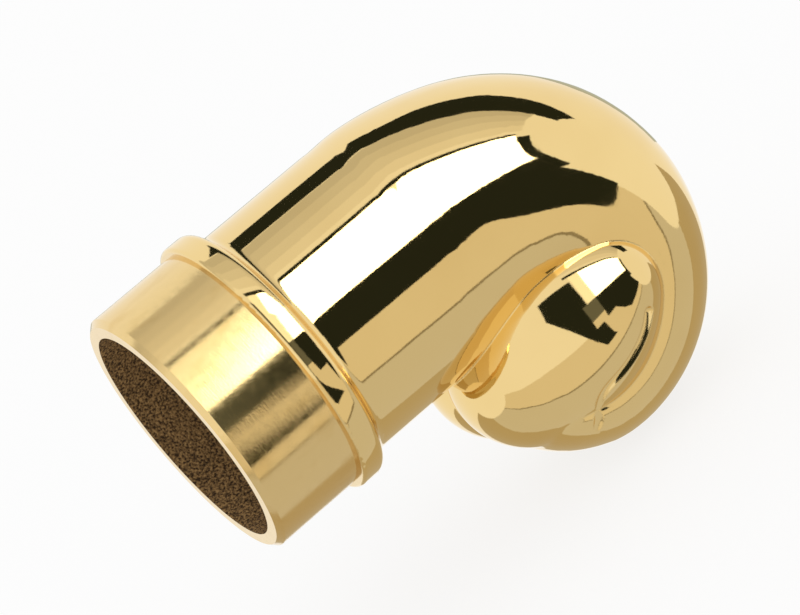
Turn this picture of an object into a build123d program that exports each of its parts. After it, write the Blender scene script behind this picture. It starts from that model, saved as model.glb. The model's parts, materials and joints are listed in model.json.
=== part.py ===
from build123d import *
import math
import os

# A one-piece hollow brass scroll finial for the end of a tubular handrail.
# Millimetres.  Origin: centre of the shoulder ring that meets the end of the rail tube.
# +X runs along the rail axis into the scroll, the scroll curls down towards -Z,
# and the finial is the same on both sides of the plane Y = 0.

# The rail tube that the finial fits
rail_outer_dia = 50.8
rail_wall = 1.27
fit_clearance = 0.13

# Spigot, collar and straight body
spigot_length = 17.2
spigot_chamfer = 1.0
casting_wall = 3.2
collar_width = 5.0
shoulder_edge_radius = 0.7
collar_crest_radius = 1.6
collar_cove_radius = 2.2
collar_step = 2.7
body_length = 28.0

# The outer edge of the scroll is a chain of tangent arcs: how far each turns,
# and its radius as a multiple of the body's, so that the scroll suits the tube
straight_past_body = 4.05
arc_turns = (30, 40, 50, 60, 70, 90)
arc_ratios = (2.471, 1.731, 1.498, 1.414, 0.969, 0.396)

# The outer turn, described about an axis parallel to Y
turn_past_body = 12.0
turn_below_body = 1.9
turn_inner_gap = 1.6
inner_gap_angle = 30
turn_split_angle = 180
turn_end_angle = 270
turn_step = 15
width_right_ratio = 0.881
width_down_ratio = 0.859
width_end_ratio = 0.639

# The egg-shaped inner lobe on the +Y side, blunt at the bottom left and with its nose by the eye,
# placed from the axis of the turn
lobe_radius = 14.4
lobe_place = (-2.9, 5.0, -3.6)
nose_radius = 10.8
nose_place = (11.3, 14.8, 1.4)
egg_side_radius = 28.0

# The groove that starts deep beside the nose and fades out down the lobe, from the same axis
groove_radius = 1.2
groove_places = (
    (13.26, 24.68, -3.27),
    (8.45, 24.4, -7.0),
    (3.98, 23.82, -8.7),
    (0.17, 22.79, -9.86),
    (-3.47, 18.83, -15.58),
    (-5.1, 17.8, -18.0),
)

# The core leaves the casting hollow, and its wall thickens from the body to the scroll
core_end_angle = 105
core_wall_angle = 60

rail_bore_dia = rail_outer_dia - 2 * rail_wall
spigot_radius = rail_bore_dia / 2 - fit_clearance
collar_radius = rail_outer_dia / 2
body_radius = collar_radius - collar_step
bore_radius = spigot_radius - casting_wall
body_wall = body_radius - bore_radius
body_dia = 2 * body_radius
arc_start_x = body_length + straight_past_body
turn_x = body_length + turn_past_body
turn_z = -body_radius - turn_below_body


def ease(start, end, share):
    """Go from start to end with no slope at either end."""
    share = min(max(share, 0), 1)
    return start + (end - start) * share * share * (3 - 2 * share)


def turned_body():
    """Spigot, collar and the straight run of the body as one turned shape."""
    mouth = -spigot_length
    edge = shoulder_edge_radius
    # The collar's rounded crest meets the cove that runs out along the body
    crest_x = collar_width - collar_crest_radius
    crest_y = collar_radius - collar_crest_radius
    rise = body_radius + collar_cove_radius - crest_y
    run = math.sqrt((collar_crest_radius + collar_cove_radius) ** 2 - rise ** 2)
    slope = math.degrees(math.atan2(rise, run))
    cove_x = crest_x + run
    cove_y = crest_y + rise
    profile = [
        CenterArc((cove_x, cove_y), collar_cove_radius, 180 + slope, 90 - slope),
        CenterArc((crest_x, crest_y), collar_crest_radius, slope, 90 - slope),
        Line((crest_x, collar_radius), (edge, collar_radius)),
        CenterArc((edge, collar_radius - edge), edge, 90, 90),
        Polyline(
            (0, collar_radius - edge),
            (0, spigot_radius),
            (mouth + spigot_chamfer, spigot_radius),
            (mouth, spigot_radius - spigot_chamfer),
            (mouth, 0),
            (body_length, 0),
            (body_length, body_radius),
            (cove_x, body_radius),
        ),
    ]
    return revolve(Plane.XY * make_face(profile), Axis.X)


def edge_arc(angle):
    """Centre and radius of the arc that the scroll's outer edge follows at an angle of the turn."""
    heading = 0
    x, z = arc_start_x, body_radius
    for turn, ratio in zip(arc_turns, arc_ratios):
        radius = ratio * body_radius
        centre_x = x - radius * math.sin(heading)
        centre_z = z - radius * math.cos(heading)
        heading += math.radians(turn)
        x = centre_x + radius * math.sin(heading)
        z = centre_z + radius * math.cos(heading)
        arc_end_angle = math.degrees(math.atan2(x - turn_x, z - turn_z)) % 360
        if angle <= arc_end_angle:
            break
    return centre_x, centre_z, radius


def outer_reach(angle):
    """Distance from the axis of the turn to the outer edge of the scroll."""
    a = math.radians(angle)
    centre_x, centre_z, radius = edge_arc(angle)
    off_x = centre_x - turn_x
    off_z = centre_z - turn_z
    along = off_x * math.sin(a) + off_z * math.cos(a)
    aside = off_x * math.cos(a) - off_z * math.sin(a)
    return along + math.sqrt(radius ** 2 - aside ** 2)


def inner_reach(angle):
    """Distance from the axis of the turn to its inner edge."""
    return ease(turn_below_body, turn_inner_gap, angle / inner_gap_angle)


def turn_width(angle):
    """The turn gets narrower than the body as it goes round."""
    if angle <= 90:
        return body_dia * ease(1, width_right_ratio, angle / 90)
    if angle <= turn_split_angle:
        share = (angle - 90) / (turn_split_angle - 90)
        return body_dia * ease(width_right_ratio, width_down_ratio, share)
    share = (angle - turn_split_angle) / (turn_end_angle - turn_split_angle)
    return body_dia * ease(width_down_ratio, width_end_ratio, share)


def oval(plane, inner, outer, width):
    """An oval in four quarters, its ends at two distances along the plane's first direction."""
    middle = (inner + outer) / 2
    side = width / 2
    weights = [1, math.sqrt(0.5), 1]
    quarters = [
        Bezier((outer, 0), (outer, side), (middle, side), weights=weights),
        Bezier((middle, side), (inner, side), (inner, 0), weights=weights),
        Bezier((inner, 0), (inner, -side), (middle, -side), weights=weights),
        Bezier((middle, -side), (outer, -side), (outer, 0), weights=weights),
    ]
    return plane * make_face(quarters)


def round_section(x, radius):
    plane = Plane(origin=(x, 0, 0), x_dir=(0, 0, 1), z_dir=(-1, 0, 0))
    return oval(plane, -radius, radius, 2 * radius)


def turn_section(angle, wall):
    """The turn's oval at an angle, made smaller by a wall all round."""
    a = math.radians(angle)
    plane = Plane(
        origin=(turn_x, 0, turn_z),
        x_dir=(math.sin(a), 0, math.cos(a)),
        z_dir=(-math.cos(a), 0, math.sin(a)),
    )
    inner = inner_reach(angle) + wall
    outer = outer_reach(angle) - wall
    return oval(plane, inner, outer, turn_width(angle) - 2 * wall)


def bend(radius, angles, walls):
    """A solid that starts round in the straight body and goes on through the turn."""
    straight = [round_section(body_length, radius), round_section(arc_start_x, radius)]
    return loft(straight + [turn_section(angle, wall) for angle, wall in zip(angles, walls)])


def outer_turn():
    """The body bent over into a turn that tightens as it goes round."""
    before = range(0, turn_split_angle + 1, turn_step)
    after = range(turn_split_angle, turn_end_angle + 1, turn_step)
    first = bend(body_radius, before, [0] * len(before))
    second = loft([turn_section(angle, 0) for angle in after])
    return first + second


def inner_lobe():
    """An egg of three tangent arcs spun about the line from its blunt end to its nose."""
    axis = Vector(turn_x, 0, turn_z)
    blunt = axis + Vector(*lobe_place)
    nose = axis + Vector(*nose_place)
    length = (nose - blunt).length
    to_blunt = egg_side_radius - lobe_radius
    to_nose = egg_side_radius - nose_radius
    side_x = (length ** 2 + to_blunt ** 2 - to_nose ** 2) / (2 * length)
    side_y = -math.sqrt(to_blunt ** 2 - side_x ** 2)
    blunt_angle = math.degrees(math.atan2(-side_y, -side_x))
    nose_angle = math.degrees(math.atan2(-side_y, length - side_x))
    profile = [
        CenterArc((0, 0), lobe_radius, blunt_angle, 180 - blunt_angle),
        CenterArc((side_x, side_y), egg_side_radius, nose_angle, blunt_angle - nose_angle),
        CenterArc((length, 0), nose_radius, 0, nose_angle),
        Line((-lobe_radius, 0), (length + nose_radius, 0)),
    ]
    egg = revolve(make_face(profile), Axis.X)
    place = Plane(origin=blunt, x_dir=nose - blunt, z_dir=Vector(0, 0, 1).cross(nose - blunt))
    return place * egg


def groove():
    """A round-bottomed cut that runs out of the surface at its lower end."""
    path = Spline(*groove_places)
    cut = sweep(Plane(origin=path @ 0, z_dir=path % 0) * Circle(groove_radius), path=path)
    return Pos(turn_x, 0, turn_z) * (cut + Pos(*groove_places[0]) * Sphere(groove_radius))


def hollow():
    """The cored inside, open at the mouth and carried round the first part of the turn."""
    angles = range(0, core_end_angle + 1, turn_step)
    walls = [ease(body_wall, casting_wall, angle / core_wall_angle) for angle in angles]
    bore = Pos(-spigot_length, 0, 0) * Rot(0, 90, 0) * Cylinder(
        bore_radius, spigot_length + body_length, align=(Align.CENTER, Align.CENTER, Align.MIN))
    return bore + bend(bore_radius, angles, walls)


if __name__ == "__main__":
    os.makedirs("parts", exist_ok=True)
    lobe = inner_lobe()
    cut = groove()
    casting = turned_body() + outer_turn() + lobe + mirror(lobe, about=Plane.XZ)
    casting = casting - cut - mirror(cut, about=Plane.XZ) - hollow()
    export_step(casting, "parts/scroll_casting.step")
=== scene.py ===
import json
import math

import bpy
from bpy.props import FloatProperty, FloatVectorProperty, PointerProperty
from mathutils import Matrix, Vector

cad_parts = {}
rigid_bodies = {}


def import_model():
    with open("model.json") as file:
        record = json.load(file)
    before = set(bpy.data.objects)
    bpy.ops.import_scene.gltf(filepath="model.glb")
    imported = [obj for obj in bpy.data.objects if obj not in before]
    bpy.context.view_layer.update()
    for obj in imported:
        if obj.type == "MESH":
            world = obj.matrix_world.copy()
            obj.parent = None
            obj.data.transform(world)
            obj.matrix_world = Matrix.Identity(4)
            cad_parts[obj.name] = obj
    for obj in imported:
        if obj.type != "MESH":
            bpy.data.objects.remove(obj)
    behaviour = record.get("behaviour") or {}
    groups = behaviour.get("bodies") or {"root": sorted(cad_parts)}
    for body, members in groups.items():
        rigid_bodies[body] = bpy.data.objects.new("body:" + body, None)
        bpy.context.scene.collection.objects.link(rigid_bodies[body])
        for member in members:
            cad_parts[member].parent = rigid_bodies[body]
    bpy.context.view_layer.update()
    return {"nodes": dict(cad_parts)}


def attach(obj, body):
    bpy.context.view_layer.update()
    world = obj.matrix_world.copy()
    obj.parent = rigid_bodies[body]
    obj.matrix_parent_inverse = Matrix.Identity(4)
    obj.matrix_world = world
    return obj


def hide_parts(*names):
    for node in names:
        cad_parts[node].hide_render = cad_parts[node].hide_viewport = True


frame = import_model()

bl_info = {
    "name": "Handrail Scroll Finial",
    "version": (1, 0, 0),
    "blender": (4, 5, 0),
    "location": "View3D > Sidebar > Finial",
    "description": "Dresses a brass scroll finial and sets up its studio",
    "category": "Object",
}

# Places on the casting, in metres: the collar's shoulder is at X = 0 and the bore runs along X
BORE_RADIUS = 0.0208
BORE_MARGIN = 0.0004
MOUTH_X = -0.0172
BORE_END_X = 0.020
SHOULDER_MARGIN = 1e-5
LOWEST_Z = -0.0501
SCROLL_CENTRE = (0.040, 0.0, -0.0246)

# How the casting's mesh is merged and shaded, and the order of its finishes
MERGE_DISTANCE = 1e-6
SMOOTH_ANGLE = math.radians(28)
TURNED = 1
CORED = 2

# Depths of the fine marks and the softening of creases, in metres
CREASE_RADIUS = 0.0005
CREASE_SAMPLES = 6
BUFFING_DEPTH = 0.000002
TURNING_DEPTH = 0.000003
SATIN_DEPTH = 0.000005
LUMP_DEPTH = 0.0005
GRIT_DEPTH = 0.00025
GRAIN_GROUP = "surface_grain"

# The photograph's view: the camera's turn, tilt and roll about the point it looks at
VIEW_TURN = math.radians(15.0)
VIEW_TILT = math.radians(20.0)
VIEW_ROLL = math.radians(40.55)
VIEW_DISTANCE = 0.60
VIEW_TARGET = (0.0258, 0.0, -0.0075)
SENSOR_WIDTH = 36.0
LENS = 161.0
CLIP_START = 0.01
CLIP_END = 100.0

# The floor: its width in metres, its colour and how much of it glows where it is seen
FLOOR_SIZE = 4.0
FLOOR_COLOUR = (0.9, 0.9, 0.9, 1)
WHITE = (1, 1, 1, 1)
FLOOR_GLOW = 0.8

# Black cloth, and the pale colour it turns to from the second mirroring on
FLAG_BLACK = (0.020, 0.024, 0.018)
FLAG_PALE = (0.85, 0.80, 0.68)
FIRST_MIRRORING = 1.5

# Colour of the softbox, and colour and strength of the other cloths and walls
SOFTBOX_COLOUR = (1, 1, 0.97)
CLOTHS = {
    "softbox_edge": ((1, 1, 0.95), 1.3),
    "dim_flag": ((0.95, 1, 0.9), 0.16),
    "amber_wall": ((1, 0.93, 0.80), 0.80),
    "tan_wall": ((1, 0.98, 0.95), 0.66),
    "deep_wall": ((1, 0.86, 0.6), 0.52),
    "dark_line": ((0.5, 0.45, 0.35), 0.6),
    "edge_wall": ((0.9, 0.95, 0.8), 0.55),
}

# Cards are flat grids bent round the finial in layers, and a nearer layer hides those behind it
CARD_STEPS = 16
FRONT = 1.0
MIDDLE = 1.01
BEHIND = 1.02


def band(low, high, start, end):
    """The four corners of a card between two angles across the rail and two along it."""
    return ((low, start), (high, start), (high, end), (low, end))


# Cards as name, cloth, layer and corners, each corner an angle in degrees across the rail,
# positive towards the lower side of the picture, and one along it, positive towards the scroll
CARDS = (
    ("softbox", "softbox_cloth", FRONT, band(-51, -3, 24, 62)),
    ("softbox_foot", "softbox_edge", FRONT, band(-51, -3, 17, 24)),
    ("flag_foot", "dim_flag", FRONT, band(-3, 20, 12, 23.5)),
    ("amber_foot", "amber_wall", FRONT, band(20, 30, 12, 23.5)),
    ("frame_left", "black_flag", FRONT, band(-54.5, -51, 14, 62)),
    ("frame_top", "black_flag", FRONT, band(-48, 20, 62, 66)),
    ("flag_near", "black_flag", FRONT, band(-3, 30, 23.5, 31)),
    ("flag_bend", "black_flag", FRONT, ((-3, 31), (30, 31), (56, 40), (-3, 40))),
    ("flag_upper", "black_flag", FRONT, band(-3, 56, 40, 62)),
    ("flag_low", "black_flag", MIDDLE, ((-42, -10), (-20, -14), (56, 12), (56, 22))),
    ("flag_low_left", "black_flag", MIDDLE, ((-42, -10), (56, 21), (-3, 16), (-42, 16))),
    ("flag_far", "black_flag", FRONT, ((-116, 8), (-100, 8), (-95, 72), (-125, 72))),
)
WALLS = (
    ("amber_side", "amber_wall", BEHIND, band(30, 69, -70, 60)),
    ("line_side", "dark_line", BEHIND, band(69, 71, -70, 60)),
    ("tan_side", "tan_wall", BEHIND, band(71, 118, -70, 60)),
    ("deep_side", "deep_wall", BEHIND, band(118, 165, -70, 60)),
    ("edge_side", "edge_wall", BEHIND, band(-180, -166, -15, 28)),
)

# The upper wall, which gets brighter in steps towards the softbox
SHADE_COLOUR = (1, 0.98, 0.95)
SHADE_START = -99
SHADE_WIDTH = 10
SHADE_ALONG = (-60, 64)
SHADE_STRENGTHS = (0.62, 0.70, 0.78, 0.88)


def view_axes():
    """The camera's right, up and forward directions."""
    level_up = Vector((0, math.sin(VIEW_TILT), math.cos(VIEW_TILT)))
    level_forward = Vector((0, math.cos(VIEW_TILT), -math.sin(VIEW_TILT)))
    rail = Vector((1, 0, 0))
    right = rail * math.cos(VIEW_TURN) - level_forward * math.sin(VIEW_TURN)
    forward = rail * math.sin(VIEW_TURN) + level_forward * math.cos(VIEW_TURN)
    rolled_right = right * math.cos(VIEW_ROLL) - level_up * math.sin(VIEW_ROLL)
    rolled_up = right * math.sin(VIEW_ROLL) + level_up * math.cos(VIEW_ROLL)
    return rolled_right, rolled_up, forward


def rail_axes():
    """Directions the studio is laid out by: along the rail, across it, and to the camera."""
    right, up, forward = view_axes()
    along = right * math.cos(VIEW_ROLL) + up * math.sin(VIEW_ROLL)
    across = right * math.sin(VIEW_ROLL) - up * math.cos(VIEW_ROLL)
    return along, across, -forward


class FinialCasting(bpy.types.PropertyGroup):
    brass: FloatVectorProperty(
        name="Brass", description="Colour of the polished brass", subtype="COLOR", size=3,
        min=0, max=1, default=(0.87, 0.65, 0.29))
    warm_brass: FloatVectorProperty(
        name="Warm brass", description="Colour where the brass has begun to tarnish",
        subtype="COLOR", size=3, min=0, max=1, default=(0.78, 0.55, 0.22))
    turned_brass: FloatVectorProperty(
        name="Turned brass", description="Colour of the turned spigot", subtype="COLOR", size=3,
        min=0, max=1, default=(0.84, 0.62, 0.28))
    sand_skin: FloatVectorProperty(
        name="Sand skin", description="Light colour of the bore's cast skin", subtype="COLOR",
        size=3, min=0, max=1, default=(0.44, 0.26, 0.10))
    burnt_skin: FloatVectorProperty(
        name="Burnt skin", description="Dark colour of the bore's cast skin", subtype="COLOR",
        size=3, min=0, max=1, default=(0.05, 0.026, 0.010))
    polish_wave: FloatProperty(
        name="Polish wave", description="Depth of the waves that hand polishing leaves",
        subtype="DISTANCE", min=0, default=0.00016)


class FinialStage(bpy.types.PropertyGroup):
    background: FloatProperty(
        name="Background", description="Brightness of the white surroundings", min=0, default=1.0)
    softbox: FloatProperty(
        name="Softbox", description="Brightness of the softbox", min=0, default=4.5)
    card_distance: FloatProperty(
        name="Card distance", description="From the finial to the cards round it",
        subtype="DISTANCE", default=1.0)


def new_material(name):
    """An empty material and its node tree."""
    material = bpy.data.materials.new(name)
    material.use_nodes = True
    material.node_tree.nodes.clear()
    return material, material.node_tree


def grain_group():
    """The grain that all the finishes share: noise over the piece, spread over a range."""
    group = bpy.data.node_groups.get(GRAIN_GROUP)
    if group is not None:
        return group
    group = bpy.data.node_groups.new(GRAIN_GROUP, "ShaderNodeTree")
    for name in ("Scale", "Detail", "Low", "High", "Start", "End"):
        group.interface.new_socket(name=name, in_out="INPUT", socket_type="NodeSocketFloat")
    group.interface.new_socket(name="Stretch", in_out="INPUT", socket_type="NodeSocketVector")
    group.interface.new_socket(name="Value", in_out="OUTPUT", socket_type="NodeSocketFloat")
    given = group.nodes.new("NodeGroupInput")
    place = group.nodes.new("ShaderNodeTexCoord")
    mapping = group.nodes.new("ShaderNodeMapping")
    noise = group.nodes.new("ShaderNodeTexNoise")
    spread = group.nodes.new("ShaderNodeMapRange")
    result = group.nodes.new("NodeGroupOutput")
    group.links.new(place.outputs["Object"], mapping.inputs["Vector"])
    group.links.new(given.outputs["Stretch"], mapping.inputs["Scale"])
    group.links.new(mapping.outputs["Vector"], noise.inputs["Vector"])
    group.links.new(given.outputs["Scale"], noise.inputs["Scale"])
    group.links.new(given.outputs["Detail"], noise.inputs["Detail"])
    group.links.new(noise.outputs["Fac"], spread.inputs["Value"])
    group.links.new(given.outputs["Low"], spread.inputs["From Min"])
    group.links.new(given.outputs["High"], spread.inputs["From Max"])
    group.links.new(given.outputs["Start"], spread.inputs["To Min"])
    group.links.new(given.outputs["End"], spread.inputs["To Max"])
    group.links.new(spread.outputs["Result"], result.inputs["Value"])
    return group


def grain(tree, scale, detail, stretch=(1, 1, 1), low=0, high=1, start=0, end=1):
    """The shared grain with its own scale, and noise from low to high made start to end."""
    node = tree.nodes.new("ShaderNodeGroup")
    node.node_tree = grain_group()
    node.inputs["Scale"].default_value = scale
    node.inputs["Detail"].default_value = detail
    node.inputs["Stretch"].default_value = stretch
    node.inputs["Low"].default_value = low
    node.inputs["High"].default_value = high
    node.inputs["Start"].default_value = start
    node.inputs["End"].default_value = end
    return node.outputs["Value"]


def blend(tree, share, first, second):
    """The first colour where the share is 0, and the second where it is 1."""
    node = tree.nodes.new("ShaderNodeMix")
    node.data_type = "RGBA"
    node.inputs["A"].default_value = (*first, 1)
    node.inputs["B"].default_value = (*second, 1)
    tree.links.new(share, node.inputs["Factor"])
    return node.outputs["Result"]


def bump(tree, height, depth, under=None):
    """A normal raised by a height, over another normal if there is one."""
    node = tree.nodes.new("ShaderNodeBump")
    node.inputs["Strength"].default_value = 1
    node.inputs["Distance"].default_value = depth
    tree.links.new(height, node.inputs["Height"])
    if under is not None:
        tree.links.new(under, node.inputs["Normal"])
    return node.outputs["Normal"]


def surface(tree, colour, roughness, normal, metallic, specular):
    """The shader of a finish."""
    node = tree.nodes.new("ShaderNodeBsdfPrincipled")
    node.inputs["Metallic"].default_value = metallic
    node.inputs["Specular IOR Level"].default_value = specular
    tree.links.new(colour, node.inputs["Base Color"])
    tree.links.new(roughness, node.inputs["Roughness"])
    tree.links.new(normal, node.inputs["Normal"])
    output = tree.nodes.new("ShaderNodeOutputMaterial")
    tree.links.new(node.outputs["BSDF"], output.inputs["Surface"])


def polished_brass(settings):
    """Bright brass with slow waves from the buffing wheel and a faint tarnish."""
    material, tree = new_material("polished_brass")
    tarnish = grain(tree, scale=45, detail=3, low=0.45, high=0.75, end=0.35)
    colour = blend(tree, tarnish, settings.brass, settings.warm_brass)
    roughness = grain(tree, scale=350, detail=4, low=0.3, high=0.7, start=0.02, end=0.055)
    crease = tree.nodes.new("ShaderNodeBevel")
    crease.samples = CREASE_SAMPLES
    crease.inputs["Radius"].default_value = CREASE_RADIUS
    slow = grain(tree, scale=62, detail=0.5)
    fine = grain(tree, scale=1500, detail=2)
    waves = bump(tree, slow, settings.polish_wave, crease.outputs["Normal"])
    normal = bump(tree, fine, BUFFING_DEPTH, waves)
    surface(tree, colour, roughness, normal, metallic=1.0, specular=0.5)
    return material


def turned_brass(settings):
    """Satin brass with fine turning lines and a few stains."""
    material, tree = new_material("turned_brass")
    stain = grain(tree, scale=120, detail=4, stretch=(1, 2, 2), low=0.55, high=0.72, end=0.7)
    colour = blend(tree, stain, settings.turned_brass, settings.warm_brass)
    roughness = grain(tree, scale=700, detail=4, low=0.3, high=0.7, start=0.10, end=0.17)
    lines = bump(tree, grain(tree, scale=1, detail=2, stretch=(5200, 160, 160)), TURNING_DEPTH)
    normal = bump(tree, grain(tree, scale=2600, detail=3), SATIN_DEPTH, lines)
    surface(tree, colour, roughness, normal, metallic=1.0, specular=0.5)
    return material


def cast_skin(settings):
    """The sandy skin that the core leaves in the bore."""
    material, tree = new_material("cast_skin")
    grit = {"scale": 2400, "detail": 5}
    colour = blend(
        tree, grain(tree, low=0.38, high=0.66, **grit), settings.burnt_skin, settings.sand_skin)
    roughness = grain(tree, low=0.3, high=0.7, start=0.6, end=0.95, **grit)
    lumps = bump(tree, grain(tree, scale=350, detail=5), LUMP_DEPTH)
    normal = bump(tree, grain(tree, **grit), GRIT_DEPTH, lumps)
    surface(tree, colour, roughness, normal, metallic=0.0, specular=0.15)
    return material


def deselect_all():
    bpy.ops.object.select_all(action="DESELECT")


def make_active(obj):
    deselect_all()
    obj.select_set(True)
    bpy.context.view_layer.objects.active = obj


def merge_and_smooth():
    """Join the active piece's loose triangles and smooth all but its sharp edges."""
    bpy.ops.object.mode_set(mode="EDIT")
    bpy.ops.mesh.select_all(action="SELECT")
    bpy.ops.mesh.remove_doubles(threshold=MERGE_DISTANCE)
    bpy.ops.object.mode_set(mode="OBJECT")
    bpy.ops.mesh.customdata_custom_splitnormals_clear()
    bpy.ops.object.shade_smooth_by_angle(angle=SMOOTH_ANGLE)


def in_bore(centre, normal):
    """A face of the straight bore points towards its middle."""
    radius = math.hypot(centre.y, centre.z)
    inward = centre.y * normal.y + centre.z * normal.z < 0
    return radius < BORE_RADIUS + BORE_MARGIN and inward and MOUTH_X < centre.x < BORE_END_X


def core_faces(piece):
    """Faces of the whole cored inside, round the turn and with its end."""
    bpy.ops.object.mode_set(mode="EDIT")
    bpy.ops.mesh.select_mode(type="FACE")
    bpy.ops.mesh.select_all(action="DESELECT")
    bpy.ops.object.mode_set(mode="OBJECT")
    for face in piece.data.polygons:
        face.select = in_bore(face.center, face.normal)
    bpy.ops.object.mode_set(mode="EDIT")
    bpy.ops.mesh.select_linked(delimit={"SHARP"})
    bpy.ops.mesh.select_more()
    bpy.ops.object.mode_set(mode="OBJECT")
    return {
        face.index for face in piece.data.polygons
        if in_bore(face.center, face.normal) or (face.select and face.center.x > BORE_END_X)
    }


class FINIAL_OT_casting(bpy.types.Operator):
    """Dress the casting in its polished, satin and rough finishes"""

    bl_idname = "object.finial_casting"
    bl_label = "Scroll casting"

    def execute(self, context):
        if "scroll_casting" not in frame["nodes"]:
            raise RuntimeError("The packed model has no scroll_casting")
        make_active(frame["nodes"]["scroll_casting"])
        bpy.ops.object.duplicate()
        piece = context.active_object
        piece.name = "scroll_casting_finish"
        merge_and_smooth()
        cored = core_faces(piece)
        settings = context.scene.finial_casting
        piece.data.materials.clear()
        piece.data.materials.append(polished_brass(settings))
        piece.data.materials.append(turned_brass(settings))
        piece.data.materials.append(cast_skin(settings))
        for face in piece.data.polygons:
            if face.index in cored:
                face.material_index = CORED
            elif face.center.x < SHOULDER_MARGIN:
                face.material_index = TURNED
        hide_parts("scroll_casting")
        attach(piece, "root")
        return {"FINISHED"}


def add_glow(tree, colour, strength):
    """A glow that covers the whole surface."""
    glow = tree.nodes.new("ShaderNodeEmission")
    glow.inputs["Color"].default_value = (*colour, 1)
    glow.inputs["Strength"].default_value = strength
    output = tree.nodes.new("ShaderNodeOutputMaterial")
    tree.links.new(glow.outputs["Emission"], output.inputs["Surface"])
    return glow


def glow_material(name, colour, strength):
    """Cloth or wall that glows evenly."""
    material, tree = new_material(name)
    add_glow(tree, colour, strength)
    return material


def flag_material():
    """Black cloth, which turns pale where one part of the brass mirrors another."""
    material, tree = new_material("black_flag")
    glow = add_glow(tree, FLAG_BLACK, 1)
    rays = tree.nodes.new("ShaderNodeLightPath")
    deeper = tree.nodes.new("ShaderNodeMath")
    deeper.operation = "GREATER_THAN"
    deeper.inputs[1].default_value = FIRST_MIRRORING
    tree.links.new(rays.outputs["Ray Depth"], deeper.inputs[0])
    colour = blend(tree, deeper.outputs["Value"], FLAG_BLACK, FLAG_PALE)
    tree.links.new(colour, glow.inputs["Color"])
    return material


def floor_material():
    """Pale floor that looks white to the camera and keeps a soft shadow."""
    material, tree = new_material("pale_floor")
    rays = tree.nodes.new("ShaderNodeLightPath")
    seen = rays.outputs["Is Camera Ray"]
    for ray in ("Is Glossy Ray", "Is Transmission Ray"):
        either = tree.nodes.new("ShaderNodeMath")
        either.operation = "MAXIMUM"
        tree.links.new(seen, either.inputs[0])
        tree.links.new(rays.outputs[ray], either.inputs[1])
        seen = either.outputs["Value"]
    share = tree.nodes.new("ShaderNodeMath")
    share.operation = "MULTIPLY"
    share.inputs[1].default_value = FLOOR_GLOW
    tree.links.new(seen, share.inputs[0])
    matt = tree.nodes.new("ShaderNodeBsdfDiffuse")
    matt.inputs["Color"].default_value = FLOOR_COLOUR
    glow = tree.nodes.new("ShaderNodeEmission")
    glow.inputs["Color"].default_value = WHITE
    glow.inputs["Strength"].default_value = 1
    mix = tree.nodes.new("ShaderNodeMixShader")
    tree.links.new(share.outputs["Value"], mix.inputs["Fac"])
    tree.links.new(matt.outputs["BSDF"], mix.inputs[1])
    tree.links.new(glow.outputs["Emission"], mix.inputs[2])
    output = tree.nodes.new("ShaderNodeOutputMaterial")
    tree.links.new(mix.outputs["Shader"], output.inputs["Surface"])
    return material


def make_world(scene, strength):
    """White surroundings."""
    world = bpy.data.worlds.new("studio")
    scene.world = world
    world.use_nodes = True
    tree = world.node_tree
    tree.nodes.clear()
    back = tree.nodes.new("ShaderNodeBackground")
    back.inputs["Color"].default_value = WHITE
    back.inputs["Strength"].default_value = strength
    output = tree.nodes.new("ShaderNodeOutputWorld")
    tree.links.new(back.outputs["Background"], output.inputs["Surface"])


def make_floor():
    """The floor under the finial, which the brass doesn't mirror."""
    deselect_all()
    bpy.ops.mesh.primitive_plane_add(size=FLOOR_SIZE, location=(SCROLL_CENTRE[0], 0, LOWEST_Z))
    floor = bpy.context.active_object
    floor.name = "floor"
    floor.data.materials.append(floor_material())
    floor.visible_glossy = False


def make_card(name, material, corners, distance):
    """A grid bent round the finial between four corners, which only mirrors show."""
    along, across, camera = rail_axes()
    deselect_all()
    bpy.ops.mesh.primitive_grid_add(
        x_subdivisions=CARD_STEPS, y_subdivisions=CARD_STEPS, size=1, location=(0, 0, 0))
    obj = bpy.context.active_object
    obj.name = name
    for vertex in obj.data.vertices:
        u = vertex.co.x + 0.5
        v = vertex.co.y + 0.5
        weights = ((1 - u) * (1 - v), u * (1 - v), u * v, (1 - u) * v)
        turn = math.radians(sum(w * c[0] for w, c in zip(weights, corners)))
        lift = math.radians(sum(w * c[1] for w, c in zip(weights, corners)))
        level = camera * math.cos(turn) + across * math.sin(turn)
        direction = level * math.cos(lift) + along * math.sin(lift)
        vertex.co = Vector(SCROLL_CENTRE) + direction * distance
    obj.data.materials.append(material)
    obj.visible_camera = False
    obj.visible_shadow = False
    obj.visible_diffuse = False


def make_cards(settings):
    """The softbox, the flags and the walls round the finial."""
    distance = settings.card_distance
    cloths = {name: glow_material(name, *cloth) for name, cloth in CLOTHS.items()}
    cloths["softbox_cloth"] = glow_material("softbox_cloth", SOFTBOX_COLOUR, settings.softbox)
    cloths["black_flag"] = flag_material()
    for name, cloth, layer, corners in CARDS:
        make_card(name, cloths[cloth], corners, distance * layer)
    for step, strength in enumerate(SHADE_STRENGTHS):
        start = SHADE_START + SHADE_WIDTH * step
        shade = glow_material("shade_wall", SHADE_COLOUR, strength)
        corners = band(start, start + SHADE_WIDTH, *SHADE_ALONG)
        make_card("shade_upper", shade, corners, distance * BEHIND)
    for name, cloth, layer, corners in WALLS:
        make_card(name, cloths[cloth], corners, distance * layer)


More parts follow.
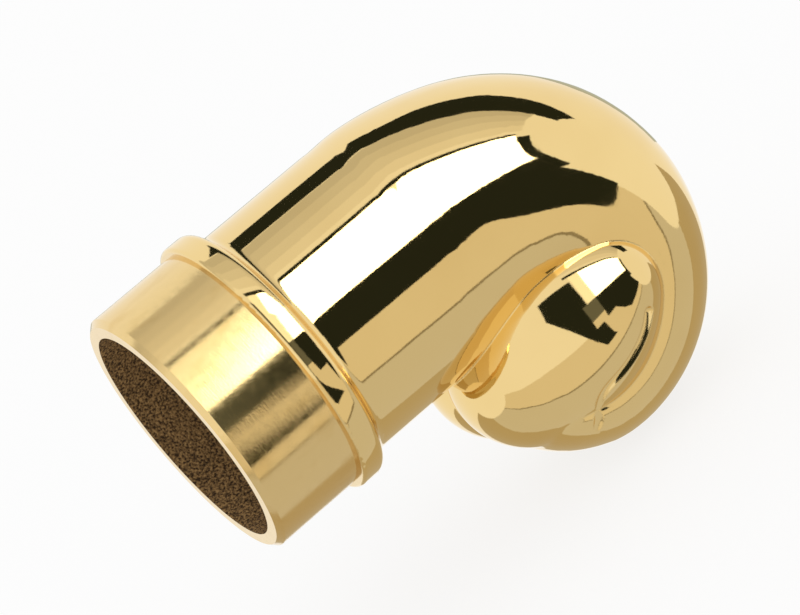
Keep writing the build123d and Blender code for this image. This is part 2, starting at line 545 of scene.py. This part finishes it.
def make_camera(scene):
    """The camera at the photograph's angle."""
    right, up, forward = view_axes()
    data = bpy.data.cameras.new("photo_camera")
    data.sensor_width = SENSOR_WIDTH
    data.lens = LENS
    data.clip_start = CLIP_START
    data.clip_end = CLIP_END
    camera = bpy.data.objects.new("photo_camera", data)
    scene.collection.objects.link(camera)
    pose = Matrix((right, up, -forward)).transposed().to_4x4()
    pose.translation = Vector(VIEW_TARGET) - forward * VIEW_DISTANCE
    camera.matrix_world = pose
    scene.camera = camera


class FINIAL_OT_stage(bpy.types.Operator):
    """Set up the floor, the surroundings, the cards and the camera"""

    bl_idname = "scene.finial_stage"
    bl_label = "Studio"

    def execute(self, context):
        settings = context.scene.finial_stage
        context.scene.view_settings.view_transform = "Standard"
        make_world(context.scene, settings.background)
        make_floor()
        make_cards(settings)
        make_camera(context.scene)
        return {"FINISHED"}


class FINIAL_PT_panel(bpy.types.Panel):
    """Lists the finial's pieces and its studio"""

    bl_idname = "FINIAL_PT_panel"
    bl_label = "Scroll finial"
    bl_space_type = "VIEW_3D"
    bl_region_type = "UI"
    bl_category = "Finial"

    def draw(self, context):
        layout = self.layout
        for name in ("brass", "warm_brass", "turned_brass", "sand_skin", "burnt_skin", "polish_wave"):
            layout.prop(context.scene.finial_casting, name)
        layout.operator(FINIAL_OT_casting.bl_idname)
        for name in ("background", "softbox", "card_distance"):
            layout.prop(context.scene.finial_stage, name)
        layout.operator(FINIAL_OT_stage.bl_idname)


CLASSES = (FinialCasting, FinialStage, FINIAL_OT_casting, FINIAL_OT_stage, FINIAL_PT_panel)


def register():
    for cls in CLASSES:
        bpy.utils.register_class(cls)
    bpy.types.Scene.finial_casting = PointerProperty(type=FinialCasting)
    bpy.types.Scene.finial_stage = PointerProperty(type=FinialStage)


def unregister():
    del bpy.types.Scene.finial_stage
    del bpy.types.Scene.finial_casting
    for cls in reversed(CLASSES):
        bpy.utils.unregister_class(cls)


def main():
    register()
    bpy.ops.object.finial_casting()
    bpy.ops.scene.finial_stage()


if __name__ == "__main__":
    main()
